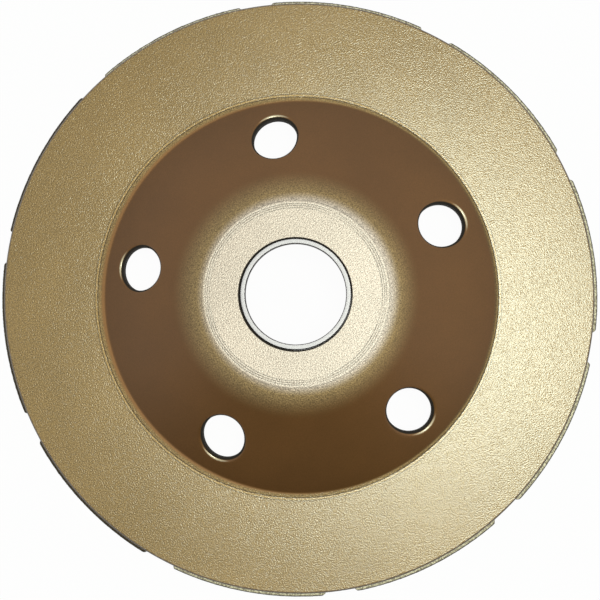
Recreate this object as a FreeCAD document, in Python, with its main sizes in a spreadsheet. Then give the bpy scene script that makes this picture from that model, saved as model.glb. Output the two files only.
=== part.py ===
"""Diamond cup wheel for an angle grinder: a pressed steel cup with a turned hub and rim, round
vents in its slope, sintered segments brazed to the front of its rim and a reducing ring in its
bore.

Millimetres and degrees. +Z is the wheel's axis and points out of the hub, towards the machine.
The origin is on that axis, in the plane of the segments' working faces. A vent, and so the slot
between two segments that it lines up with, is centred on +X.
"""

import FreeCAD, Part
import math
import os

import Sketcher

Vector = FreeCAD.Vector

# The driving sizes: name, value and meaning
SIZES = [
    ("wheel_diameter", 125.0, "over the outer faces of the segments"),
    ("segment_count", 10, "segments round the rim"),
    ("segment_height", 5.0, "from the rim's front face to the working face"),
    ("segment_overhang", 1.2, "how far a segment stands out past the rim's edge"),
    ("segment_setback", 1.6, "from the foot of the slope to the inner end of a segment"),
    ("segment_corner_chamfer", 0.6, "upright corners of a segment"),
    ("slot_width", 6.0, "parallel slot between two segments"),
    ("sheet_thickness", 3.3, "wall of the pressing, square to its surface"),
    ("rim_facing_depth", 0.18, "what the turning takes off the rim's rear face"),
    ("rim_chamfer", 0.35, "the rim's rear edge"),
    ("land_width", 0.68, "unturned land between the foot and the turned face"),
    ("land_angle", 5.0, "how the land falls outwards, where the bend runs out"),
    ("foot_radius", 1.0, "concave bend between slope and rim"),
    ("slope_angle", 32.4, "the cup's side, from the plane of the rim"),
    ("crown_radius", 16.0, "convex bend between hub and slope"),
    ("crown_start_angle", 8.0, "slope of the crown where the turned hub face cuts it"),
    ("hub_rise", 12.58, "hub face above the rim's turned rear face"),
    ("hub_face_diameter", 36.8, "turned edge of the hub face"),
    ("bore_diameter", 22.23, "bore of the cup"),
    ("bore_chamfer", 0.2, "rear edge of the cup's bore"),
    ("vent_count", 5, "vents round the slope"),
    ("vent_diameter", 9.0, "vent, bored along the axis"),
    ("vent_margin", 3.97, "from the foot of the slope to the edge of a vent"),
    ("ring_thickness", 2.0, "reducing ring, along the axis"),
    ("ring_outer_chamfer", 0.2, "outer edge of the ring's rear face"),
    ("ring_bore_chamfer", 0.15, "rear edge of the ring's bore"),
    ("ring_clearance", 0.02, "between the ring and the cup's bore, all round"),
    ("ring_wall", 1.095, "reducing ring, from its outside to its bore"),
]

# The sizes that follow from them: name, formula and meaning. Angles are in degrees.
DERIVED = [
    ("rim_front", "segment_height", "height of the rim's front face"),
    ("land_rear", "rim_front + sheet_thickness", "height of the sheet before the rim is turned"),
    ("rim_rear", "land_rear - rim_facing_depth", "height of the rim's turned rear face"),
    ("hub_rear", "rim_rear + hub_rise", "height of the hub face"),
    ("ring_seat", "hub_rear - ring_thickness", "height of the ring's front face"),
    ("ring_outer_radius", "bore_diameter / 2 - ring_clearance", "outside of the ring"),
    ("ring_bore_radius", "ring_outer_radius - ring_wall", "bore of the ring"),
    ("body_radius", "wheel_diameter / 2 - segment_overhang", "outer edge of the rim"),
    ("crown_inner_radius", "crown_radius - sheet_thickness", "the same bend inside the cup"),
    ("foot_outer_radius", "foot_radius + sheet_thickness", "the foot's bend inside the cup"),
    ("bend_sum", "crown_radius + foot_radius", "both bends, which the slope is tangent to"),
    (
        "crown_centre_x",
        "hub_face_diameter / 2 - crown_radius * sin(crown_start_angle)",
        "the crown's centre, from the axis",
    ),
    ("crown_centre_z", "hub_rear - crown_radius * cos(crown_start_angle)", "its height"),
    ("foot_centre_z", "land_rear + foot_radius", "height of the foot's centre"),
    (
        "slope_length",
        "(crown_centre_z - foot_centre_z + bend_sum * cos(slope_angle)) / sin(slope_angle)",
        "straight part of the slope",
    ),
    (
        "foot_circle_radius",
        "crown_centre_x + bend_sum * sin(slope_angle) + slope_length * cos(slope_angle)",
        "where the foot meets the flat rim",
    ),
    ("turning_radius", "foot_circle_radius + land_width", "inner end of the rim's turned face"),
    ("land_start", "foot_circle_radius - foot_radius * sin(land_angle)", "inner end of the land"),
    (
        "land_end_height",
        "foot_centre_z - foot_radius * cos(land_angle)"
        " - (turning_radius - land_start) * tan(land_angle)",
        "height of the land's outer edge",
    ),
    (
        "vent_circle_radius",
        "foot_circle_radius - vent_margin - vent_diameter / 2",
        "circle through the vents' centres",
    ),
    ("segment_inner_radius", "foot_circle_radius + segment_setback", "inner end of a segment"),
    ("segment_pitch", "360 / segment_count", "angle from segment to segment"),
]

SHEET = "Sizes"
START, END, CENTRE = 1, 2, 3
ROOT = (-1, 1)
AXIS_X = -1


def make_sheet(doc):
    """The spreadsheet that holds every size under its name."""
    sheet = doc.addObject("Spreadsheet::Sheet", SHEET)
    rows = [(name, str(value), meaning) for name, value, meaning in SIZES]
    rows += [(name, "=" + formula, meaning) for name, formula, meaning in DERIVED]
    for row, (name, content, meaning) in enumerate(rows, start=1):
        sheet.set(f"A{row}", name)
        sheet.set(f"B{row}", content)
        sheet.setAlias(f"B{row}", name)
        sheet.set(f"C{row}", meaning)
    doc.recompute()
    return sheet


def new_body(doc, name):
    """An empty body whose name is also its label."""
    body = doc.addObject("PartDesign::Body", name)
    body.Label = name
    return body


def new_sketch(body, name, role):
    """A sketch on the body's own origin plane of that role."""
    plane = next(f for f in body.Origin.OriginFeatures if f.Role == role)
    sketch = body.newObject("Sketcher::SketchObject", name)
    sketch.AttachmentSupport = [(plane, "")]
    sketch.MapMode = "FlatFace"
    return sketch


def origin_axis(body, role):
    """The body's own origin axis of that role, as a feature's reference."""
    return (next(f for f in body.Origin.OriginFeatures if f.Role == role), [""])


def line(start, end):
    return Part.LineSegment(Vector(*start, 0), Vector(*end, 0))


def arc(centre, radius, start_degrees, end_degrees):
    """An arc that runs anticlockwise from one angle to the other."""
    circle = Part.Circle(Vector(*centre, 0), Vector(0, 0, 1), radius)
    return Part.ArcOfCircle(circle, math.radians(start_degrees), math.radians(end_degrees))


def tie(sketch, name, kind, references, expression):
    """Adds a named dimension to the sketch and ties it to the sizes in the sheet."""
    value = float(sketch.evalExpression(expression))
    if kind == "Angle":
        value = math.radians(value)
    index = sketch.addConstraint(Sketcher.Constraint(kind, *references, value))
    sketch.renameConstraint(index, name)
    sketch.setExpression(f"Constraints.{name}", expression)


def relate(sketch, kind, *groups):
    """Adds the same relation, which has no size, to each group of references."""
    for references in groups:
        sketch.addConstraint(Sketcher.Constraint(kind, *references))


def edges_where(shape, accept):
    """The names of the shape's edges whose sampled points all satisfy a test."""
    names = []
    for number, edge in enumerate(shape.Edges, start=1):
        if all(accept(point) for point in edge.discretize(9)):
            names.append(f"Edge{number}")
    return names


def on_circle(point, radius, height, tolerance=1e-4):
    """Whether a point lies on a circle round the axis."""
    return (
        abs(math.hypot(point.x, point.y) - radius) < tolerance
        and abs(point.z - height) < tolerance
    )


def chamfer(body, name, edges, expression):
    """Chamfers the named edges of the body's last feature, by the size in the expression."""
    base = body.Tip
    feature = body.newObject("PartDesign::Chamfer", name)
    feature.Base = (base, edges)
    feature.setExpression("Size", expression)
    body.Document.recompute()
    return feature


def cup_profile(body, size):
    """Half the section of the pressing: the rear surface from the bore outwards, and the front
    surface back inwards, at a sheet's thickness from it."""
    bore = size("bore_diameter") / 2
    slope = size("slope_angle")
    crown = (size("crown_centre_x"), size("crown_centre_z"))
    foot = (size("foot_circle_radius"), size("foot_centre_z"))
    hub_rear, hub_front = size("hub_rear"), crown[1] + size("crown_inner_radius")
    across, up = math.sin(math.radians(slope)), math.cos(math.radians(slope))

    land_end = (size("turning_radius"), size("land_end_height"))
    land_fall = math.tan(math.radians(size("land_angle")))
    land_start = (
        size("land_start"),
        land_end[1] + (size("turning_radius") - size("land_start")) * land_fall,
    )

    def slope_line(crown_radius, foot_radius):
        """The common tangent of a circle round the crown's centre and one round the foot's."""
        top = (crown[0] + crown_radius * across, crown[1] + crown_radius * up)
        bottom = (foot[0] - foot_radius * across, foot[1] - foot_radius * up)
        return line(top, bottom)

    sketch = new_sketch(body, "cup_profile", "XZ_Plane")
    shapes = [
        line((bore, hub_rear), (size("hub_face_diameter") / 2, hub_rear)),
        arc(crown, size("crown_radius"), 90 - slope, 90 - size("crown_start_angle")),
        slope_line(size("crown_radius"), size("foot_radius")),
        arc(foot, size("foot_radius"), 270 - slope, 270 - size("land_angle")),
        line(land_start, land_end),
        line(land_end, (size("turning_radius"), size("rim_rear"))),
        line((size("turning_radius"), size("rim_rear")), (size("body_radius"), size("rim_rear"))),
        line((size("body_radius"), size("rim_rear")), (size("body_radius"), size("rim_front"))),
        line((size("body_radius"), size("rim_front")), (foot[0], size("rim_front"))),
        arc(foot, size("foot_outer_radius"), 270 - slope, 270),
        slope_line(size("crown_inner_radius"), size("foot_outer_radius")),
        arc(crown, size("crown_inner_radius"), 90 - slope, 90),
        line((crown[0], hub_front), (bore, hub_front)),
        line((bore, hub_front), (bore, hub_rear)),
    ]
    (
        hub_face,
        crown_rear,
        slope_rear,
        foot_rear,
        land,
        step,
        rim_rear,
        rim_edge,
        rim_front,
        foot_front,
        slope_front,
        crown_front,
        clamp_face,
        bore_wall,
    ) = sketch.addGeometry(shapes, False)

    relate(
        sketch,
        "Coincident",
        (hub_face, END, crown_rear, END),
        (land, END, step, START),
        (step, END, rim_rear, START),
        (rim_rear, END, rim_edge, START),
        (rim_edge, END, rim_front, START),
        (clamp_face, END, bore_wall, START),
        (bore_wall, END, hub_face, START),
        (crown_rear, CENTRE, crown_front, CENTRE),
        (foot_rear, CENTRE, foot_front, CENTRE),
    )
    relate(
        sketch,
        "Tangent",
        (crown_rear, START, slope_rear, START),
        (slope_rear, END, foot_rear, START),
        (foot_rear, END, land, START),
        (rim_front, END, foot_front, END),
        (foot_front, START, slope_front, END),
        (slope_front, START, crown_front, START),
        (crown_front, END, clamp_face, START),
    )
    relate(sketch, "Horizontal", (hub_face,), (rim_rear,), (rim_front,), (clamp_face,))
    relate(sketch, "Vertical", (step,), (rim_edge,), (bore_wall,))

    tie(sketch, "bore_radius", "DistanceX", (*ROOT, hub_face, START), "Sizes.bore_diameter / 2")
    tie(
        sketch, "hub_radius", "DistanceX", (*ROOT, hub_face, END), "Sizes.hub_face_diameter / 2"
    )
    tie(sketch, "hub_height", "DistanceY", (*ROOT, hub_face, START), "Sizes.hub_rear")
    tie(sketch, "crown_bend", "Radius", (crown_rear,), "Sizes.crown_radius")
    tie(sketch, "crown_place", "DistanceX", (*ROOT, crown_rear, CENTRE), "Sizes.crown_centre_x")
    tie(sketch, "crown_inner_bend", "Radius", (crown_front,), "Sizes.crown_inner_radius")
    tie(sketch, "foot_bend", "Radius", (foot_rear,), "Sizes.foot_radius")
    tie(sketch, "foot_place", "DistanceX", (*ROOT, foot_rear, CENTRE), "Sizes.foot_circle_radius")
    tie(sketch, "foot_inner_bend", "Radius", (foot_front,), "Sizes.foot_outer_radius")
    tie(sketch, "foot_height", "DistanceY", (*ROOT, foot_rear, CENTRE), "Sizes.foot_centre_z")
    tie(sketch, "land_height", "DistanceY", (*ROOT, land, END), "Sizes.land_end_height")
    tie(sketch, "turning_end", "DistanceX", (*ROOT, land, END), "Sizes.turning_radius")
    tie(sketch, "rim_height", "DistanceY", (*ROOT, rim_rear, END), "Sizes.rim_rear")
    tie(sketch, "rim_radius", "DistanceX", (*ROOT, rim_rear, END), "Sizes.body_radius")
    return sketch


def make_wheel_body(doc, size):
    """The pressed cup: revolved, its rear edges broken, then the vents bored."""
    body = new_body(doc, "wheel_body")
    profile = cup_profile(body, size)
    doc.recompute()
    cup = body.newObject("PartDesign::Revolution", "cup")
    cup.Profile = profile
    cup.ReferenceAxis = origin_axis(body, "Z_Axis")
    cup.Angle = 360
    doc.recompute()

    rim_edge = edges_where(
        cup.Shape, lambda p: on_circle(p, size("body_radius"), size("rim_rear"))
    )
    bevelled = chamfer(body, "rim_edge", rim_edge, "Sizes.rim_chamfer")
    bore_edge = edges_where(
        bevelled.Shape, lambda p: on_circle(p, size("bore_diameter") / 2, size("hub_rear"))
    )
    turned = chamfer(body, "bore_edge", bore_edge, "Sizes.bore_chamfer")

    circle = new_sketch(body, "vent_circle", "XY_Plane")
    vent_edge = circle.addGeometry(
        Part.Circle(
            Vector(size("vent_circle_radius"), 0, 0), Vector(0, 0, 1), size("vent_diameter") / 2
        ),
        False,
    )
    relate(circle, "PointOnObject", (vent_edge, CENTRE, AXIS_X))
    tie(
        circle, "vent_place", "DistanceX", (*ROOT, vent_edge, CENTRE), "Sizes.vent_circle_radius"
    )
    tie(circle, "vent_size", "Diameter", (vent_edge,), "Sizes.vent_diameter")
    vent = body.newObject("PartDesign::Pocket", "vent")
    vent.Profile = circle
    vent.Type = "ThroughAll"
    vent.Midplane = True
    doc.recompute()

    vents = body.newObject("PartDesign::PolarPattern", "vents")
    vents.Originals = [vent]
    vents.Axis = origin_axis(body, "Z_Axis")
    vents.Angle = 360
    vents.setExpression("Occurrences", "Sizes.vent_count")
    body.Tip = vents
    doc.recompute()
    bored_away = turned.Shape.Volume - vents.Shape.Volume
    one_vent = math.pi * (size("vent_diameter") / 2) ** 2 * size("sheet_thickness")
    if bored_away < size("vent_count") * one_vent:
        raise RuntimeError("the vents don't go through the slope")
    return body


def make_segment(doc, number, size):
    """One sintered segment: an arc of the ring between two parallel slots, on the rim's front."""
    body = new_body(doc, f"segment_{number:02d}")
    outer, inner = size("wheel_diameter") / 2, size("segment_inner_radius")
    half_slot = size("slot_width") / 2
    half_pitch = math.radians(size("segment_pitch") / 2)

    def corner(radius, side):
        """Where the slot's edge meets a circle round the axis; side is 1 or -1."""
        along = math.sqrt(radius**2 - half_slot**2)
        x = along * math.cos(half_pitch) + half_slot * math.sin(half_pitch)
        y = along * math.sin(half_pitch) - half_slot * math.cos(half_pitch)
        return (x, side * y)

    def bearing(radius):
        """The angle of that corner, in degrees."""
        x, y = corner(radius, 1)
        return math.degrees(math.atan2(y, x))

    plan = new_sketch(body, f"segment_plan_{number:02d}", "XY_Plane")
    outer_arc, upper_side, inner_arc, lower_side = plan.addGeometry(
        [
            arc((0, 0), outer, -bearing(outer), bearing(outer)),
            line(corner(outer, 1), corner(inner, 1)),
            arc((0, 0), inner, -bearing(inner), bearing(inner)),
            line(corner(inner, -1), corner(outer, -1)),
        ],
        False,
    )
    slot_line = plan.addGeometry(
        line((0, 0), (outer * math.cos(half_pitch), outer * math.sin(half_pitch))), True
    )
    relate(
        plan,
        "Coincident",
        (outer_arc, END, upper_side, START),
        (upper_side, END, inner_arc, END),
        (inner_arc, START, lower_side, START),
        (lower_side, END, outer_arc, START),
        (outer_arc, CENTRE, *ROOT),
        (inner_arc, CENTRE, *ROOT),
        (slot_line, START, *ROOT),
    )
    relate(plan, "PointOnObject", (slot_line, END, outer_arc))
    relate(plan, "Parallel", (upper_side, slot_line))
    relate(
        plan,
        "Vertical",
        (upper_side, START, lower_side, END),
        (upper_side, END, lower_side, START),
    )
    tie(plan, "outer_radius", "Radius", (outer_arc,), "Sizes.wheel_diameter / 2")
    tie(plan, "inner_radius", "Radius", (inner_arc,), "Sizes.segment_inner_radius")
    tie(plan, "half_pitch", "Angle", (slot_line,), "Sizes.segment_pitch / 2 * 1 deg")
    tie(plan, "half_slot", "Distance", (upper_side, END, slot_line), "Sizes.slot_width / 2")
    doc.recompute()

    block = body.newObject("PartDesign::Pad", f"segment_block_{number:02d}")
    block.Profile = plan
    block.setExpression("Length", "Sizes.segment_height")
    doc.recompute()
    corners = [corner(radius, side) for radius in (outer, inner) for side in (1, -1)]
    upright = edges_where(
        block.Shape, lambda p: any(math.dist((p.x, p.y), xy) < 1e-4 for xy in corners)
    )
    corners_name = f"segment_corners_{number:02d}"
    chamfer(body, corners_name, upright, "Sizes.segment_corner_chamfer")
    body.setExpression("Placement.Rotation.Angle", f"({number} - 0.5) * Sizes.segment_pitch")
    return body


def make_reducing_ring(doc, size):
    """The ring that brings the bore down to the spindle's size, flush with the hub face."""
    body = new_body(doc, "reducing_ring")
    plan = new_sketch(body, "ring_plan", "XY_Plane")
    outer, inner = size("ring_outer_radius"), size("ring_bore_radius")
    outer_circle, inner_circle = plan.addGeometry(
        [Part.Circle(Vector(), Vector(0, 0, 1), radius) for radius in (outer, inner)], False
    )
    relate(plan, "Coincident", (outer_circle, CENTRE, *ROOT), (inner_circle, CENTRE, *ROOT))
    tie(plan, "ring_outer", "Radius", (outer_circle,), "Sizes.ring_outer_radius")
    tie(plan, "ring_inner", "Radius", (inner_circle,), "Sizes.ring_bore_radius")
    doc.recompute()

    blank = body.newObject("PartDesign::Pad", "ring_blank")
    blank.Profile = plan
    blank.setExpression("Length", "Sizes.ring_thickness")
    doc.recompute()
    rear = size("ring_thickness")
    outer_edge = edges_where(blank.Shape, lambda p: on_circle(p, outer, rear))
    bevelled = chamfer(body, "ring_outer_edge", outer_edge, "Sizes.ring_outer_chamfer")
    bore_edge = edges_where(bevelled.Shape, lambda p: on_circle(p, inner, rear))
    chamfer(body, "ring_bore_edge", bore_edge, "Sizes.ring_bore_chamfer")
    body.setExpression("Placement.Base.z", "Sizes.ring_seat")
    return body


def check(doc, bodies):
    """Stops if any object failed to build, or a piece isn't one valid solid."""
    for obj in doc.Objects:
        if "Invalid" in obj.State or "Error" in obj.State:
            raise RuntimeError(f"{obj.Name} failed: {obj.State}")
    for body in bodies:
        shape = body.Shape
        if shape.isNull() or not shape.isValid() or len(shape.Solids) != 1:
            raise RuntimeError(f"{body.Label} isn't one valid solid")


def main():
    doc = FreeCAD.newDocument("cup_wheel")
    sheet = make_sheet(doc)

    def size(name):
        return float(getattr(sheet, name))

    bodies = [make_wheel_body(doc, size)]
    bodies += [make_segment(doc, n, size) for n in range(1, int(size("segment_count")) + 1)]
    bodies.append(make_reducing_ring(doc, size))
    doc.recompute()
    check(doc, bodies)

    os.makedirs("parts", exist_ok=True)
    for body in bodies:
        body.Shape.exportStep(f"parts/{body.Label}.step")
        box = body.Shape.optimalBoundingBox()
        print(
            f"{body.Label}: {body.Shape.Volume:.1f} mm3, z {box.ZMin:.2f} to {box.ZMax:.2f}, "
            f"r {max(box.XMax, -box.XMin):.2f}"
        )


main()
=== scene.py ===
"""Looks of the diamond cup wheel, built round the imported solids.

The row's frame: the wheel lies on its segments at z = 0 with the hub up, and a vent is centred on
+X. Shapes are worked out in millimetres and made in metres. A name that ends in RADII, HEIGHTS or
ENDS holds the two values between which something comes in or goes out.
"""

import math

import bmesh
import bpy
from mathutils import Matrix, Vector

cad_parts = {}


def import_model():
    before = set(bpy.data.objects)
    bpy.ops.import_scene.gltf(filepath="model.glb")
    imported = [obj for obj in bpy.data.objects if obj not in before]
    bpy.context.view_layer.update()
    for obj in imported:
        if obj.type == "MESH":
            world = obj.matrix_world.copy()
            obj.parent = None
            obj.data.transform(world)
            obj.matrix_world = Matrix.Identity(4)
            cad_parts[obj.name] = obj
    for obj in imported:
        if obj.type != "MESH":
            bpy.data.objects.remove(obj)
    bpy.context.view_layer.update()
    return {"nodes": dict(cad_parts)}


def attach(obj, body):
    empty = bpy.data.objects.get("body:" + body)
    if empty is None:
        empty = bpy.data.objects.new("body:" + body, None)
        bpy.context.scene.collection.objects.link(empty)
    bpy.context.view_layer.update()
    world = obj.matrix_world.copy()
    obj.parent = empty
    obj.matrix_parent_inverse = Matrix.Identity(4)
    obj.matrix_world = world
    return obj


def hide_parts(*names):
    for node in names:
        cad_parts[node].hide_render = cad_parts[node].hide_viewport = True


MM = 0.001

# The wheel's own sizes, as its solids have them
BORE_RADIUS = 11.115
BORE_CHAMFER = 0.2
CLAMP_FACE = 17.556
HUB_REAR = 20.7
HUB_FACE_RADIUS = 18.4
CROWN_CENTRE = (16.173, 4.8555)
CROWN_RADIUS = 16.0
CROWN_INNER_RADIUS = 12.7
CROWN_START = 8.0
SLOPE = 32.4
FOOT_CENTRE = (40.897, 9.3)
FOOT_RADIUS = 1.0
FOOT_OUTER_RADIUS = 4.3
LAND_ANGLE = 5.0
LAND_END = 8.237
TURNING_RADIUS = 41.577
RIM_REAR = 8.12
RIM_FRONT = 5.0
RIM_CHAMFER = 0.35
BODY_RADIUS = 61.3
OUTER_RADIUS = 62.5
VENTS = 5
VENT_CIRCLE = 32.43
VENT_RADIUS = 4.5
RING_SEAT = 18.7
RING_OUTER_RADIUS = 11.095
RING_BORE_RADIUS = 10.0
RING_OUTER_CHAMFER = 0.2
RING_BORE_CHAMFER = 0.15

# How far the edges are rounded that the solids leave sharp: the cup's, its vents' and the ring's
CLAMP_EDGE = 0.2
BORE_EDGE = 0.06
HUB_EDGE = 0.08
STEP_EDGE = 0.05
STEP_FOOT = 0.04
RIM_EDGE = 0.15
RIM_FRONT_EDGE = 0.2
REAR_LIP = 0.7
FRONT_LIP = 0.2
RING_EDGE = 0.05
RING_BORE_EDGE = 0.04

# Fine grooves that the tool leaves in the turned faces
HUB_GROOVES = (17.15, 17.6, 18.0)
RIM_GROOVE = 42.2
GROOVE_HALF_WIDTH = 0.09
GROOVE_DEPTH = 0.014

# The pressing sits a little off the turning's axis, towards the picture's right: by how much at the
# foot of the slope, and the radii between which the slope takes it up
OFF_CENTRE = 0.6
OFF_CENTRE_RADII = (29.0, 39.5)

# The mesh round the axis, and the radii of the part that gives way to each vent
COLUMNS = 240
PATCH_CELLS = 18
REAR_PATCH = (25.7, 39.7)
FRONT_PATCH = (24.4, 38.2)

# Where the rings round a vent lie, from its patch's border (1) to its lip (0)
RING_SHARES = (0.72, 0.46, 0.25, 0.1, 0.0)

# Steps in the lips' arcs, the crown's and foot's at the rear and in front, and a rounded edge
REAR_LIP_STEPS = 7
FRONT_LIP_STEPS = 4
CROWN_STEPS = 16
CROWN_INNER_STEPS = 12
FOOT_STEPS = 5
FOOT_OUTER_STEPS = 8
EDGE_STEPS = 3

# The gold on the slope, darker as painted shade, on the crown, paler as painted light, on the hub,
# paler partly for its turned face and partly as painted light, and on the rim; a painted highlight
# on the vents' lips, and a dark that is painted shade inside the vents and in the ring's joint
SLOPE_GOLD = (0.268, 0.124, 0.038, 1)
CROWN_GOLD = (0.352, 0.237, 0.109, 1)
HUB_GOLD = (0.515, 0.428, 0.380, 1)
RIM_GOLD = (0.264, 0.168, 0.065, 1)
LIP_HIGHLIGHT_GOLD = (0.560, 0.460, 0.330, 1)
SHADE_DARK = (0.020, 0.014, 0.010, 1)

# The paint's look and that of its painted shade, and how much of the clear coat the hub keeps
PAINT_METALLIC = 0.9
PAINT_ROUGHNESS = 0.57
SHADE_ROUGHNESS = 0.95
COAT_ROUGHNESS = 0.21
COAT_IOR = 1.6
HUB_COAT = 0.3

# The grain's contrast and its relief's strength, on the slope and on the flats, and how deep it is
SPECKLE = (0.3, 1.6)
FLAKE = (0.08, 0.8)
FLAKE_DEPTH = 0.05

# How far the paint's shade drifts, and how far the hub's grooves fade here and there
DRIFT_ENDS = (0.3, 0.7)
DRIFT = (0.95, 1.05)
FADE_ENDS = (0.35, 0.55)
FADE = (0.4, 1.0)

# Where the rim's, the crown's and the hub's gold lie; the hub's is a little off the axis
RIM_RADII = (40.4, 41.2)
CROWN_HEIGHTS = (HUB_REAR - 2.5, HUB_REAR - 0.1)
HUB_MIDDLE = (0.6, 0.1)
HUB_RADII = (18.3, 20.5)
HUB_HEIGHTS = (HUB_REAR - 1.2, HUB_REAR - 0.6)

# Lines painted on the turned faces, as half width, softness and brightness: painted shade in the
# hub's grooves and at its edge, then the rim's with their radii, which are painted shade at the
# step, a painted highlight just outside it, and painted shade in the groove
GROOVE_LINE = (0.05, 0.09, 0.5)
HUB_LINE_RADIUS = HUB_FACE_RADIUS + 0.22
HUB_LINE = (0.05, 0.12, 0.7)
RIM_LINES = (
    (TURNING_RADIUS, 0.05, 0.1, 0.45),
    (TURNING_RADIUS + 0.3, 0.08, 0.1, 1.5),
    (RIM_GROOVE, 0.05, 0.1, 0.55),
)

# The rim's outer edge and its wall, darkened as painted shade: by how much on the wall and at the
# edge
RIM_EDGE_RADII = (BODY_RADIUS - 0.3, BODY_RADIUS - 0.15)
RIM_WALL_HEIGHTS = (RIM_REAR - 0.6, RIM_REAR - 0.4)
RIM_WALL_SHADES = (0.55, 0.28)

# Painted shade in the joint between the ring and the bore, which is wider on the picture's lower
# left
JOINT_MIDDLE = (-0.07, -0.07)
JOINT_RADII = (11.33, 11.4)
JOINT_HEIGHTS = (20.2, 20.3)

# Near a vent, within these radii, a surface keeps its gold where it faces near enough to a
# direction that leans outwards by this many degrees, and gets painted shade elsewhere; where it
# faces the rear it gets a painted highlight
VENTS_FROM_RADII = (26.5, 27.2)
VENTS_TO_RADII = (38.6, 39.2)
PAINTED_LEAN = math.radians(14.0)
PAINTED_ENDS = (0.80, 0.89)
LIP_HIGHLIGHT_ENDS = (0.93, 0.98)

# Sintered metal, its grit, and the ledge that shows past the rim, which two colours of painted
# light mottle. On the picture's left the ledge takes painted shade instead, as dark as the rim's
# edge, and its outer edge takes painted shade all round
MATRIX_DARK = (0.17, 0.15, 0.12, 1)
MATRIX_PALE = (0.33, 0.30, 0.25, 1)
GRIT = (0.50, 0.48, 0.41, 1)
LIT_LEDGE = ((0.34, 0.29, 0.21, 1), (0.85, 0.78, 0.60, 1))
SHADED_LEDGE = ((0.05, 0.035, 0.022, 1), (0.10, 0.075, 0.048, 1))
SHADED_LEDGE_SEGMENTS = ("segment_04", "segment_05", "segment_06")
LEDGE_HEIGHTS = (RIM_FRONT - 0.2, RIM_FRONT - 0.12)
LEDGE_EDGE_SHADE = (0.07, 0.06, 0.05, 1)
LEDGE_EDGE_RADII = (OUTER_RADIUS - 0.32, OUTER_RADIUS - 0.18)
LEDGE_EDGE_HEIGHTS = (RIM_FRONT - 0.6, RIM_FRONT - 0.3)

# Where the noises turn from the matrix's dark to its pale, to grit, and from one colour of the
# ledge to the other, and the strength and depth of the grain's and the grit's relief
MATRIX_ENDS = (0.35, 0.65)
GRIT_ENDS = (0.25, 0.12)
LEDGE_ENDS = (0.42, 0.58)
GRAIN_RELIEF = (0.6, 0.08)
GRIT_RELIEF = (0.7, 0.12)
GRIT_RELIEF_ENDS = (0.45, 0.1)
MATRIX_METALLIC = 0.55
MATRIX_ROUGHNESS = 0.62

# The sintered skin's mesh and its lumps
WELD_REACH = 0.001
SKIN_CELL = 0.3
LUMP_SIZE = 0.6
LUMP_DEPTH = 0.06

# Steel between the tool's lines and on them, their relief, and painted shade on the ring's two
# edges
STEEL_DARK = (0.41, 0.385, 0.42, 1)
STEEL_PALE = (0.50, 0.47, 0.515, 1)
STEEL_ROUGHNESS = 0.55
STEEL_RELIEF = (0.2, 0.02)
STEEL_EDGE_SHADE = (0.05, 0.047, 0.042, 1)
STEEL_OUTER_RADII = (RING_OUTER_RADIUS - 0.17, RING_OUTER_RADIUS - 0.1)
STEEL_INNER_RADII = (RING_BORE_RADIUS + 0.04, RING_BORE_RADIUS + 0.1)

# How fine each pattern is, in repeats a metre
PAINT_GRAIN = 4200
PAINT_CLOUD = 60
MATRIX_GRAIN = 2600
MATRIX_CLOUD = 240
GRIT_GRAIN = 1900
STEEL_LINES = 9000

# The picture is turned about the axis from the wheel's own +X, and the camera's place is given in
# the picture's own axes
PICTURE_TURN = math.radians(-26.2)
PICTURE_UP = Vector((0, 1, 0))
PICTURE_PIXELS = 600
FOCAL_PIXELS = 1328.9
SENSOR = 36.0
CAMERA_PLACE = Vector((8.28, -10.05, 283.25)) * MM
CAMERA_TILT = (math.radians(-1.615), math.radians(1.933))

# The floor, in metres, and how much of its look is its own white, which no shadow darkens
FLOOR_HALF = 3.0
FLOOR_DROP = 0.02 * MM
FLOOR_COLOUR = (0.75, 0.75, 0.75, 1)
FLOOR_WHITE = 0.965

# The lamp, in metres and watts, leaning towards the picture's right
LAMP_HEIGHT = 0.8
LAMP_LEAN = math.radians(7.2)
LAMP_SIZE = 0.28
LAMP_POWER = 4.0
LAMP_COLOUR = (0.91, 1.0, 0.84)

# The room, what it falls to below the picture and where, and how the camera sees it
ROOM_COLOUR = (0.38, 0.38, 0.36, 1)
ROOM_BELOW = (0.07, 0.06, 0.04, 1)
ROOM_FALL_ENDS = (0.25, 0.92)
ROOM_SEEN = (0.985, 0.985, 0.985, 1)


def in_wheel(vector):
    """A vector of the picture's axes, in the wheel's own."""
    return Matrix.Rotation(PICTURE_TURN, 3, "Z") @ vector


def link(obj):
    bpy.context.scene.collection.objects.link(obj)
    return obj


def aim(obj, place, forward):
    """Puts a camera or lamp at a place, looking along forward, both in the picture's axes."""
    forward = in_wheel(forward).normalized()
    right = forward.cross(in_wheel(PICTURE_UP)).normalized()
    upward = right.cross(forward)
    turned = Matrix((right, upward, -forward)).transposed()
    obj.matrix_world = Matrix.Translation(in_wheel(place)) @ turned.to_4x4()


def make_camera():
    data = bpy.data.cameras.new("camera")
    data.sensor_width = SENSOR
    data.lens = FOCAL_PIXELS * SENSOR / PICTURE_PIXELS
    data.clip_start = 0.01
    data.clip_end = 10
    camera = link(bpy.data.objects.new("camera", data))
    forward = Vector((math.tan(CAMERA_TILT[0]), math.tan(CAMERA_TILT[1]), -1))
    aim(camera, CAMERA_PLACE, forward)
    bpy.context.scene.camera = camera


def along_arc(centre, radius, start, end, steps):
    """Points on an arc of the section, with the angles in degrees from the +r direction."""
    points = []
    for step in range(steps + 1):
        angle = math.radians(start + (end - start) * step / steps)
        points.append((centre[0] + radius * math.cos(angle), centre[1] + radius * math.sin(angle)))
    return points


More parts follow.
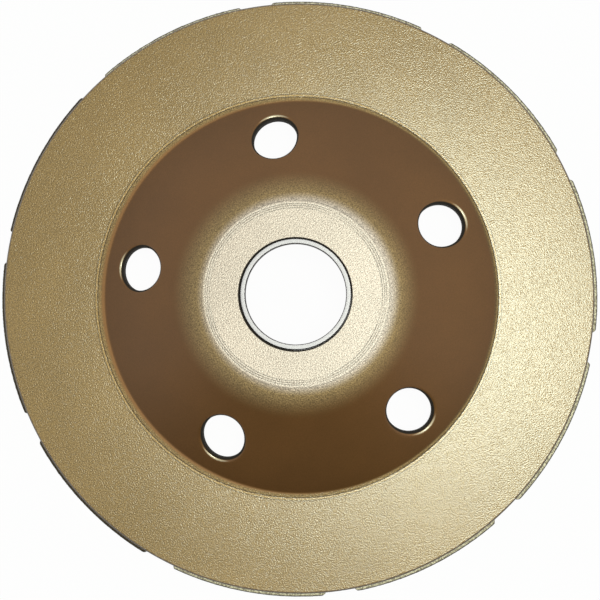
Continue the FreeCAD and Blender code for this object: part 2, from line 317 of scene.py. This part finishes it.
def rounded(corners):
    """A closed line through the corners (r, z, radius), with each corner rounded."""
    points = []
    for index, (r, z, radius) in enumerate(corners):
        here = Vector((r, z))
        if radius == 0:
            points.append((r, z))
            continue
        before = Vector(corners[index - 1][:2]) - here
        after = Vector(corners[(index + 1) % len(corners)][:2]) - here
        before.normalize()
        after.normalize()
        half = before.angle(after) / 2
        reach = radius / math.tan(half)
        centre = here + (before + after).normalized() * (radius / math.sin(half))
        first = here + before * reach - centre
        last = here + after * reach - centre
        turn = first.angle_signed(last)
        for step in range(EDGE_STEPS + 1):
            spoke = Matrix.Rotation(-turn * step / EDGE_STEPS, 2) @ first
            points.append(tuple(centre + spoke))
    return points


def groove(radius, face):
    """A fine turned groove in a face of that height, from its inner side outwards."""
    return [
        (radius - GROOVE_HALF_WIDTH, face, 0),
        (radius, face - GROOVE_DEPTH, 0),
        (radius + GROOVE_HALF_WIDTH, face, 0),
    ]


def slope_points(start, end, first, last):
    """Points along a straight slope, with even cells between the two ends of the vents' patch."""
    fall = (end[1] - start[1]) / (end[0] - start[0])
    points = [start]
    for cell in range(PATCH_CELLS + 1):
        r = first + (last - first) * cell / PATCH_CELLS
        points.append((r, start[1] + (r - start[0]) * fall))
    points.append(end)
    return points


def plain(points):
    """Points of the section as corners that stay sharp."""
    return [(r, z, 0) for r, z in points]


def cup_section():
    """The closed section of the cup, and where its two patches start in it."""
    crown_rear = along_arc(CROWN_CENTRE, CROWN_RADIUS, 90 - CROWN_START, 90 - SLOPE, CROWN_STEPS)
    foot_rear = along_arc(FOOT_CENTRE, FOOT_RADIUS, 270 - SLOPE, 270 - LAND_ANGLE, FOOT_STEPS)
    foot_front = along_arc(FOOT_CENTRE, FOOT_OUTER_RADIUS, 270, 270 - SLOPE, FOOT_OUTER_STEPS)
    crown_front = along_arc(CROWN_CENTRE, CROWN_INNER_RADIUS, 90 - SLOPE, 90, CROWN_INNER_STEPS)
    slope_rear = slope_points(crown_rear[-1], foot_rear[0], *REAR_PATCH)
    slope_front = slope_points(foot_front[-1], crown_front[0], *reversed(FRONT_PATCH))

    corners = [
        (BORE_RADIUS, CLAMP_FACE, CLAMP_EDGE),
        (BORE_RADIUS, HUB_REAR - BORE_CHAMFER, BORE_EDGE),
        (BORE_RADIUS + BORE_CHAMFER, HUB_REAR, HUB_EDGE),
    ]
    for radius in HUB_GROOVES:
        corners += groove(radius, HUB_REAR)
    corners += plain(crown_rear[:-1])
    corners += plain(slope_rear)
    corners += plain(foot_rear[1:])
    corners += [(TURNING_RADIUS, LAND_END, STEP_EDGE), (TURNING_RADIUS, RIM_REAR, STEP_FOOT)]
    corners += groove(RIM_GROOVE, RIM_REAR)
    corners += [
        (BODY_RADIUS - RIM_CHAMFER, RIM_REAR, RIM_EDGE),
        (BODY_RADIUS, RIM_REAR - RIM_CHAMFER, RIM_EDGE),
        (BODY_RADIUS, RIM_FRONT, RIM_FRONT_EDGE),
    ]
    corners += plain(foot_front[:-1])
    corners += plain(slope_front)
    corners += plain(crown_front[1:])
    section = rounded(corners)
    return section, section.index(slope_rear[1]), section.index(slope_front[1])


def off_centre(x, y):
    """A point of the pressing, moved with its slope's foot."""
    r = math.hypot(x, y)
    start, full = OFF_CENTRE_RADII
    if r < full:
        share = max(0.0, (r - start) / (full - start))
        share = share * share * (3 - 2 * share)
    else:
        land_start = FOOT_CENTRE[0]
        share = min(1.0, max(0.0, (TURNING_RADIUS - r) / (TURNING_RADIUS - land_start)))
    moved = in_wheel(Vector((OFF_CENTRE * share, 0, 0)))
    return x + moved.x, y + moved.y


class Builder:
    """Vertices and faces, in millimetres."""

    def __init__(self):
        self.points = []
        self.faces = []
        self.shared = {}

    def add(self, x, y, z):
        self.points.append((x, y, z))
        return len(self.points) - 1

    def on_section(self, section, row, column):
        """The vertex of a section's row at a column round the axis, made when first asked for."""
        key = (row % len(section), column % COLUMNS)
        if key not in self.shared:
            r, z = section[key[0]]
            angle = 2 * math.pi * key[1] / COLUMNS
            self.shared[key] = self.add(r * math.cos(angle), r * math.sin(angle), z)
        return self.shared[key]

    def cell(self, section, row, column):
        """The face between two rows of a section and two columns round the axis."""
        corners = ((row, column), (row, column + 1), (row + 1, column + 1), (row + 1, column))
        self.faces.append(tuple(self.on_section(section, *corner) for corner in corners))

    def band(self, first, second):
        """Faces between two closed rings of vertices."""
        for index in range(len(first)):
            after = (index + 1) % len(first)
            self.faces.append((first[index], first[after], second[after], second[index]))

    def make(self, name):
        mesh = bpy.data.meshes.new(name)
        points = [(x * MM, y * MM, z * MM) for x, y, z in self.points]
        mesh.from_pydata(points, [], self.faces)
        shape = bmesh.new()
        shape.from_mesh(mesh)
        bmesh.ops.recalc_face_normals(shape, faces=shape.faces)
        shape.to_mesh(mesh)
        shape.free()
        mesh.polygons.foreach_set("use_smooth", [True] * len(mesh.polygons))
        obj = link(bpy.data.objects.new(name, mesh))
        normals = obj.modifiers.new("normals", "WEIGHTED_NORMAL")
        normals.keep_sharp = False
        return obj


def slope_height(patch_point, at):
    """The height, at a place in plan, of the slope that goes through a point of the section."""
    return patch_point[1] - (at.length - patch_point[0]) * math.tan(math.radians(SLOPE))


def patch_border(rows, columns):
    """The rows and columns round a patch: its outer side, a flank, its inner side, a flank."""
    border = [(rows[0], column) for column in columns[:-1]]
    border += [(row, columns[-1]) for row in rows[:-1]]
    border += [(rows[-1], column) for column in reversed(columns[1:])]
    border += [(row, columns[0]) for row in reversed(rows[1:])]
    return border


def bore_vent(build, section, number, rear_rows, front_rows):
    """Fills the two patches of one vent: the surface round it, its rounded lips and its wall."""
    middle = number * COLUMNS // VENTS
    columns = list(range(middle - PATCH_CELLS // 2, middle + PATCH_CELLS // 2 + 1))
    bearing = 2 * math.pi * number / VENTS
    centre = Vector((VENT_CIRCLE * math.cos(bearing), VENT_CIRCLE * math.sin(bearing)))

    def border(rows):
        return [build.on_section(section, *key) for key in patch_border(rows, columns)]

    def plan(vertex):
        return Vector(build.points[vertex][:2])

    rear_border, front_border = border(rear_rows), border(front_rows)
    ways = [(plan(vertex) - centre).normalized() for vertex in rear_border]

    def lip(way, patch_point, radius, up):
        """The centre height of a lip's arc, its slope there and its end on the surface."""
        near = slope_height(patch_point, centre + way * VENT_RADIUS)
        far = slope_height(patch_point, centre + way * (VENT_RADIUS + radius))
        lean = math.atan2(far - near, radius)
        height = far - up * radius / math.cos(lean)
        end = VENT_RADIUS + radius - up * radius * math.sin(lean)
        return height, lean, end

    def rings(patch_point, border_ring, radius, up, steps):
        """Rings from a patch's border to the vent's wall; up is 1 at the rear and -1 in front."""
        made = [border_ring]
        lips = [lip(way, patch_point, radius, up) for way in ways]
        for share in RING_SHARES:
            ring = []
            for way, (_, _, end), vertex in zip(ways, lips, border_ring):
                at = (centre + way * end).lerp(plan(vertex), share)
                ring.append(build.add(at.x, at.y, slope_height(patch_point, at)))
            made.append(ring)
        for step in range(1, steps + 1):
            ring = []
            for way, (height, lean, _) in zip(ways, lips):
                start = math.pi / 2 + up * lean
                angle = start + (math.pi - start) * step / steps
                at = centre + way * (VENT_RADIUS + radius + radius * math.cos(angle))
                ring.append(build.add(at.x, at.y, height + up * radius * math.sin(angle)))
            made.append(ring)
        for first, second in zip(made, made[1:]):
            build.band(first, second)
        return made[-1]

    rear_ring = rings(section[rear_rows[0]], rear_border, REAR_LIP, 1, REAR_LIP_STEPS)
    front_ring = rings(section[front_rows[0]], front_border, FRONT_LIP, -1, FRONT_LIP_STEPS)
    middle_ring = []
    for upper, lower in zip(rear_ring, front_ring):
        x, y, high = build.points[upper]
        low = build.points[lower][2]
        middle_ring.append(build.add(x, y, (high + low) / 2))
    build.band(rear_ring, middle_ring)
    build.band(middle_ring, front_ring)


def make_cup():
    """The pressed cup, with its vents' lips rounded and its turned faces grooved."""
    section, rear_start, front_start = cup_section()
    rear_rows = [rear_start + PATCH_CELLS - cell for cell in range(PATCH_CELLS + 1)]
    front_rows = [front_start + cell for cell in range(PATCH_CELLS + 1)]
    patched_rows = set(rear_rows[1:]) | set(front_rows[:-1])
    build = Builder()
    pitch = COLUMNS // VENTS
    half_patch = PATCH_CELLS // 2
    for row in range(len(section)):
        for column in range(COLUMNS):
            from_vent = (column + pitch // 2) % pitch - pitch // 2
            if row in patched_rows and -half_patch <= from_vent < half_patch:
                continue
            build.cell(section, row, column)
    for number in range(VENTS):
        bore_vent(build, section, number, rear_rows, front_rows)
    build.points = [(*off_centre(x, y), z) for x, y, z in build.points]
    return build.make("pressed_cup")


def make_ring():
    """The reducing ring, with its edges broken."""
    section = rounded([
        (RING_BORE_RADIUS, RING_SEAT, RING_EDGE),
        (RING_BORE_RADIUS, HUB_REAR - RING_BORE_CHAMFER, RING_BORE_EDGE),
        (RING_BORE_RADIUS + RING_BORE_CHAMFER, HUB_REAR, RING_BORE_EDGE),
        (RING_OUTER_RADIUS - RING_OUTER_CHAMFER, HUB_REAR, RING_EDGE),
        (RING_OUTER_RADIUS, HUB_REAR - RING_OUTER_CHAMFER, RING_EDGE),
        (RING_OUTER_RADIUS, RING_SEAT, RING_EDGE),
    ])
    build = Builder()
    for row in range(len(section)):
        for column in range(COLUMNS):
            build.cell(section, row, column)
    return build.make("steel_ring")


class Nodes:
    """A short way to write a node tree: each call adds a node and gives its output."""

    def __init__(self, tree):
        self.tree = tree
        tree.nodes.clear()

    def add(self, kind, inputs=None, output=0, **settings):
        node = self.tree.nodes.new(kind)
        for name, value in settings.items():
            setattr(node, name, value)
        for name, value in (inputs or {}).items():
            self.feed(node.inputs[name], value)
        return node.outputs[output]

    def feed(self, socket, value):
        """Links another node's output to a socket, or sets the socket's own value."""
        if isinstance(value, bpy.types.NodeSocket):
            self.tree.links.new(value, socket)
        else:
            socket.default_value = value

    def surface(self, shader, kind="ShaderNodeOutputMaterial"):
        out = self.tree.nodes.new(kind)
        self.tree.links.new(shader, out.inputs["Surface"])

    def math(self, operation, first, second=0.0):
        return self.add("ShaderNodeMath", {0: first, 1: second}, operation=operation)

    def vector(self, operation, first, second=(0, 0, 0), output="Vector"):
        inputs = {0: first, 1: second}
        return self.add("ShaderNodeVectorMath", inputs, output, operation=operation)

    def both(self, *masks):
        """Where every one of the masks is."""
        result = masks[0]
        for mask in masks[1:]:
            result = self.math("MULTIPLY", result, mask)
        return result

    def range(self, value, low, high, start=0.0, end=1.0):
        """The value brought from low..high to start..end, and held beyond them."""
        return self.add(
            "ShaderNodeMapRange",
            {"Value": value, "From Min": low, "From Max": high, "To Min": start, "To Max": end},
            interpolation_type="SMOOTHSTEP",
        )

    def length_range(self, value, low, high, start=0.0, end=1.0):
        """The same for a length, with low and high in millimetres."""
        return self.range(value, low * MM, high * MM, start, end)

    def between(self, mask, without, within):
        """One value where a mask is none, and the other where it is full."""
        return self.range(mask, 0, 1, without, within)

    def line(self, across, radius, half_width, soft):
        """One on a line round the axis, falling to none beside it; the sizes are in millimetres."""
        away = self.math("ABSOLUTE", self.math("SUBTRACT", across, radius * MM))
        return self.length_range(away, half_width, half_width + soft, 1.0, 0.0)

    def mix(self, share, first, second, blend="MIX"):
        """Two colours, mixed. The node's sockets share their names, so identifiers tell them."""
        node = self.tree.nodes.new("ShaderNodeMix")
        node.data_type = "RGBA"
        node.blend_type = blend
        sockets = {socket.identifier: socket for socket in node.inputs}
        self.feed(sockets["Factor_Float"], share)
        self.feed(sockets["A_Color"], first)
        self.feed(sockets["B_Color"], second)
        return next(socket for socket in node.outputs if socket.identifier == "Result_Color")

    def scaled(self, colour, amount):
        """A colour made brighter or darker by an amount that varies."""
        grey = self.add("ShaderNodeCombineColor", {0: amount, 1: amount, 2: amount})
        return self.mix(1.0, colour, grey, "MULTIPLY")

    def marked(self, colour, mask, brightness):
        """A colour that takes a brightness where a mask is."""
        return self.scaled(colour, self.between(mask, 1.0, brightness))

    def noise(self, where, scale, detail, roughness=0.5):
        return self.add(
            "ShaderNodeTexNoise",
            {"Vector": where, "Scale": scale, "Detail": detail, "Roughness": roughness},
        )

    def lines(self, along, scale):
        """Noise that varies with one value only, and so makes lines across it."""
        return self.add(
            "ShaderNodeTexNoise",
            {"W": self.math("MULTIPLY", along, scale), "Scale": 1.0, "Detail": 1.0},
            noise_dimensions="1D",
        )

    def bump(self, height, strength, depth, normal=None):
        """A relief of a depth in millimetres, over another one where that is given."""
        inputs = {"Height": height, "Strength": strength, "Distance": depth * MM}
        if normal is not None:
            inputs["Normal"] = normal
        return self.add("ShaderNodeBump", inputs)

    def plan(self, where):
        """A place with its height taken out."""
        return self.vector("MULTIPLY", where, (1, 1, 0))

    def place(self):
        """The point's place in the row's frame, its distance from the axis and its height."""
        where = self.add("ShaderNodeTexCoord", output="Object")
        across = self.vector("LENGTH", self.plan(where), output="Value")
        height = self.add("ShaderNodeSeparateXYZ", {0: where}, "Z")
        return where, across, height

    def from_point(self, where, point):
        """The distance in plan from a point given in the picture's axes, in millimetres."""
        middle = in_wheel(Vector((*point, 0))) * MM
        return self.vector("DISTANCE", self.plan(where), middle, "Value")


def new_material(name):
    material = bpy.data.materials.new(name)
    material.use_nodes = True
    return material, Nodes(material.node_tree)


def with_turned_lines(n, gold, across, height, on_hub, slow):
    """The gold with the fine lines painted on the turned faces, as painted shade and a painted
    highlight, and with painted shade on the rim's edge and wall.
    """
    # Painted shade in the hub's grooves and at its edge; on the rim, painted shade at the step and
    # the groove, and a painted highlight just outside the step
    half_width, soft, brightness = GROOVE_LINE
    for radius in HUB_GROOVES:
        line = n.line(across, radius, half_width, soft)
        line = n.both(line, on_hub, n.range(slow, *FADE_ENDS, *FADE))
        gold = n.marked(gold, line, brightness)
    half_width, soft, brightness = HUB_LINE
    line = n.line(across, HUB_LINE_RADIUS, half_width, soft)
    gold = n.marked(gold, n.both(line, on_hub), brightness)
    for radius, half_width, soft, brightness in RIM_LINES:
        gold = n.marked(gold, n.line(across, radius, half_width, soft), brightness)
    # Painted shade on the rim's outer edge, and less on its wall
    edge = n.length_range(across, *RIM_EDGE_RADII)
    return n.marked(gold, edge, n.length_range(height, *RIM_WALL_HEIGHTS, *RIM_WALL_SHADES))


def vent_masks(n, where, across):
    """Where a vent's inside gets painted shade, and where its upper lip gets a painted highlight.
    """
    normal = n.add("ShaderNodeTexCoord", output="Normal")
    outwards = n.vector("NORMALIZE", n.plan(where))
    leaning = n.vector("MULTIPLY", outwards, (math.sin(PAINTED_LEAN), math.sin(PAINTED_LEAN), 0))
    leaning = n.vector("ADD", leaning, (0, 0, math.cos(PAINTED_LEAN)))
    facing = n.vector("DOT_PRODUCT", normal, leaning, "Value")
    upward = n.add("ShaderNodeSeparateXYZ", {0: normal}, "Z")
    by_vents = n.both(
        n.length_range(across, *VENTS_FROM_RADII),
        n.length_range(across, *VENTS_TO_RADII, 1.0, 0.0),
    )
    # Painted shade inside a vent, where it faces away from the leaning direction
    inside = n.both(n.range(n.math("ABSOLUTE", facing), *PAINTED_ENDS, 1.0, 0.0), by_vents)
    # A painted highlight on a vent's upper lip, where it faces the rear
    lip_highlight = n.both(n.range(upward, *LIP_HIGHLIGHT_ENDS), by_vents)
    return inside, lip_highlight


def gold_paint():
    """Gold paint with fine flake over pressed and turned steel."""
    material, n = new_material("gold_paint")
    where, across, height = n.place()
    grain = n.noise(where, PAINT_GRAIN, detail=0.5)
    slow = n.noise(where, PAINT_CLOUD, detail=3, roughness=0.6)

    on_rim = n.length_range(across, *RIM_RADII)
    on_crown = n.length_range(height, *CROWN_HEIGHTS)
    on_hub = n.both(
        n.length_range(n.from_point(where, HUB_MIDDLE), *HUB_RADII, 1.0, 0.0),
        n.length_range(height, *HUB_HEIGHTS),
    )
    flats = n.math("MAXIMUM", on_rim, on_crown)

    # The slope's darker gold is painted shade and the crown's paler gold painted light on the same
    # paint; the hub's paler gold is partly painted light
    gold = n.mix(on_crown, SLOPE_GOLD, CROWN_GOLD)
    gold = n.mix(on_hub, gold, HUB_GOLD)
    gold = n.mix(on_rim, gold, RIM_GOLD)
    speckle = n.math("MULTIPLY", n.math("SUBTRACT", grain, 0.5), n.between(flats, *SPECKLE))
    gold = n.scaled(gold, n.math("ADD", speckle, 1.0))
    gold = n.scaled(gold, n.range(slow, *DRIFT_ENDS, *DRIFT))
    gold = with_turned_lines(n, gold, across, height, on_hub, slow)

    # Painted shade in the joint round the ring, wider towards the picture's lower left
    joint = n.both(
        n.length_range(n.from_point(where, JOINT_MIDDLE), *JOINT_RADII, 1.0, 0.0),
        n.length_range(height, *JOINT_HEIGHTS),
    )
    in_vent, lip_highlight = vent_masks(n, where, across)
    # The painted highlight on the vents' upper lips
    gold = n.mix(lip_highlight, gold, LIP_HIGHLIGHT_GOLD)
    # The vents' insides and the ring's joint take the dark of painted shade, with no coat
    shaded_dark = n.math("MAXIMUM", joint, in_vent)
    gold = n.mix(shaded_dark, gold, SHADE_DARK)

    flake = n.bump(grain, n.between(flats, *FLAKE), FLAKE_DEPTH)
    shader = n.add(
        "ShaderNodeBsdfPrincipled",
        {
            "Base Color": gold,
            "Metallic": n.between(shaded_dark, PAINT_METALLIC, 0.0),
            "Roughness": n.between(shaded_dark, PAINT_ROUGHNESS, SHADE_ROUGHNESS),
            "Normal": flake,
            "Coat Weight": n.both(n.between(shaded_dark, 1.0, 0.0), n.between(on_hub, 1.0, HUB_COAT)),
            "Coat Roughness": COAT_ROUGHNESS,
            "Coat IOR": COAT_IOR,
            "Coat Normal": flake,
        },
    )
    n.surface(shader)
    return material


def sintered_matrix(name, ledge_colours):
    """Sintered metal with diamond grit, and a ledge of its own two colours, which paint light on
    it, or shade on the segments at the picture's left, and painted shade at its outer edge.
    """
    material, n = new_material(name)
    where, across, height = n.place()
    grit_inputs = {"Vector": where, "Scale": GRIT_GRAIN, "Randomness": 1.0}
    grit = n.add("ShaderNodeTexVoronoi", grit_inputs, "Distance")
    fine = n.noise(where, MATRIX_GRAIN, detail=3, roughness=0.7)
    slow = n.noise(where, MATRIX_CLOUD, detail=3, roughness=0.6)
    base = n.mix(n.range(slow, *MATRIX_ENDS), MATRIX_DARK, MATRIX_PALE)
    base = n.mix(n.range(grit, *GRIT_ENDS), base, GRIT)

    # The ledge's two colours: painted light, or painted shade on the segments at the picture's left
    ledge = n.mix(n.range(fine, *LEDGE_ENDS), *ledge_colours)
    base = n.mix(n.length_range(height, *LEDGE_HEIGHTS), base, ledge)
    # Painted shade at the ledge's outer edge
    edge = n.both(
        n.length_range(across, *LEDGE_EDGE_RADII), n.length_range(height, *LEDGE_EDGE_HEIGHTS)
    )
    base = n.mix(edge, base, LEDGE_EDGE_SHADE)

    rough = n.bump(fine, *GRAIN_RELIEF)
    rough = n.bump(n.range(grit, *GRIT_RELIEF_ENDS), *GRIT_RELIEF, rough)
    shader = n.add(
        "ShaderNodeBsdfPrincipled",
        {
            "Base Color": base,
            "Metallic": MATRIX_METALLIC,
            "Roughness": MATRIX_ROUGHNESS,
            "Normal": rough,
        },
    )
    n.surface(shader)
    return material


def bright_steel():
    """Turned bare steel, with the tool's lines round it and painted shade at its two edges."""
    material, n = new_material("bright_steel")
    where, across, height = n.place()
    lines = n.lines(n.math("ADD", across, height), STEEL_LINES)
    base = n.mix(lines, STEEL_DARK, STEEL_PALE)
    # Painted shade at the ring's outer and inner edges
    outer = n.length_range(across, *STEEL_OUTER_RADII)
    inner = n.length_range(across, *STEEL_INNER_RADII, 1.0, 0.0)
    base = n.mix(n.math("MAXIMUM", outer, inner), base, STEEL_EDGE_SHADE)
    relief = n.bump(lines, *STEEL_RELIEF)
    shader = n.add(
        "ShaderNodeBsdfPrincipled",
        {"Base Color": base, "Metallic": 1.0, "Roughness": STEEL_ROUGHNESS, "Normal": relief},
    )
    n.surface(shader)
    return material


def stand_for(piece, node, material):
    """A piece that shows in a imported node's place."""
    piece.data.materials.append(material)
    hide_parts(node)
    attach(piece, "root")


def make_sintered(segment, material, lumps):
    """A segment's own solid, with worn edges and a coarse sintered skin."""
    segment.data.materials.clear()
    segment.data.materials.append(material)
    weld = segment.modifiers.new("weld", "WELD")
    weld.merge_threshold = WELD_REACH * MM
    skin = segment.modifiers.new("skin", "REMESH")
    skin.mode = "VOXEL"
    skin.voxel_size = SKIN_CELL * MM
    skin.use_smooth_shade = True
    coarse = segment.modifiers.new("coarse", "DISPLACE")
    coarse.texture = lumps
    coarse.texture_coords = "LOCAL"
    coarse.mid_level = 1.0
    coarse.strength = LUMP_DEPTH * MM


def make_segments(nodes):
    """The segments, which share their lumps and two kinds of ledge: painted light, and painted
    shade on those at the picture's left.
    """
    # One material paints light on the ledge, the other paints shade on it at the picture's left
    pale = sintered_matrix("sintered_matrix", LIT_LEDGE)
    dark = sintered_matrix("sintered_matrix_shaded_ledge", SHADED_LEDGE)
    lumps = bpy.data.textures.new("lumps", "CLOUDS")
    lumps.noise_scale = LUMP_SIZE * MM
    lumps.noise_depth = 1
    for name, node in nodes.items():
        if name.startswith("segment"):
            # The segments at the picture's left get painted shade on their ledges
            make_sintered(node, dark if name in SHADED_LEDGE_SEGMENTS else pale, lumps)


def make_floor():
    """A plain pale floor that shows white and keeps the wheel's shadow."""
    mesh = bpy.data.meshes.new("floor")
    square = ((-1, -1), (1, -1), (1, 1), (-1, 1))
    corners = [(x * FLOOR_HALF, y * FLOOR_HALF, 0) for x, y in square]
    mesh.from_pydata(corners, [], [(0, 1, 2, 3)])
    floor = link(bpy.data.objects.new("floor", mesh))
    floor.location.z = -FLOOR_DROP
    material, n = new_material("floor")
    path = n.tree.nodes.new("ShaderNodeLightPath").outputs
    mirrored = n.math("MAXIMUM", path["Is Glossy Ray"], path["Is Transmission Ray"])
    seen = n.math("MAXIMUM", path["Is Camera Ray"], mirrored)
    pale = n.add("ShaderNodeBsdfDiffuse", {"Color": FLOOR_COLOUR})
    white = n.add("ShaderNodeEmission", {"Color": (1, 1, 1, 1), "Strength": 1.0})
    share = n.math("MULTIPLY", seen, FLOOR_WHITE)
    n.surface(n.add("ShaderNodeMixShader", {0: share, 1: pale, 2: white}))
    mesh.materials.append(material)


def make_lamp():
    """One soft round lamp almost above the wheel."""
    data = bpy.data.lights.new("key", "AREA")
    data.shape = "DISK"
    data.size = LAMP_SIZE
    data.energy = LAMP_POWER
    data.color = LAMP_COLOUR
    place = Vector((math.tan(LAMP_LEAN), 0, 1)) * LAMP_HEIGHT
    aim(link(bpy.data.objects.new("key", data)), place, -place)


def make_room():
    """A dim room, darker below the picture, that shows as pale as the floor in front of it."""
    world = bpy.data.worlds.new("room")
    bpy.context.scene.world = world
    world.use_nodes = True
    n = Nodes(world.node_tree)
    way = n.add("ShaderNodeTexCoord", output="Generated")
    below = n.vector("DOT_PRODUCT", way, in_wheel(-PICTURE_UP), "Value")
    light = n.mix(n.range(below, *ROOM_FALL_ENDS), ROOM_COLOUR, ROOM_BELOW)
    seen = n.add("ShaderNodeLightPath", output="Is Camera Ray")
    light = n.mix(seen, light, ROOM_SEEN)
    room = n.add("ShaderNodeBackground", {"Color": light, "Strength": 1.0})
    n.surface(room, "ShaderNodeOutputWorld")


def main():
    bpy.context.scene.view_settings.view_transform = "Standard"
    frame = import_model()
    make_camera()
    make_floor()
    make_lamp()
    make_room()

    stand_for(make_cup(), "wheel_body", gold_paint())
    stand_for(make_ring(), "reducing_ring", bright_steel())
    make_segments(frame["nodes"])


main()
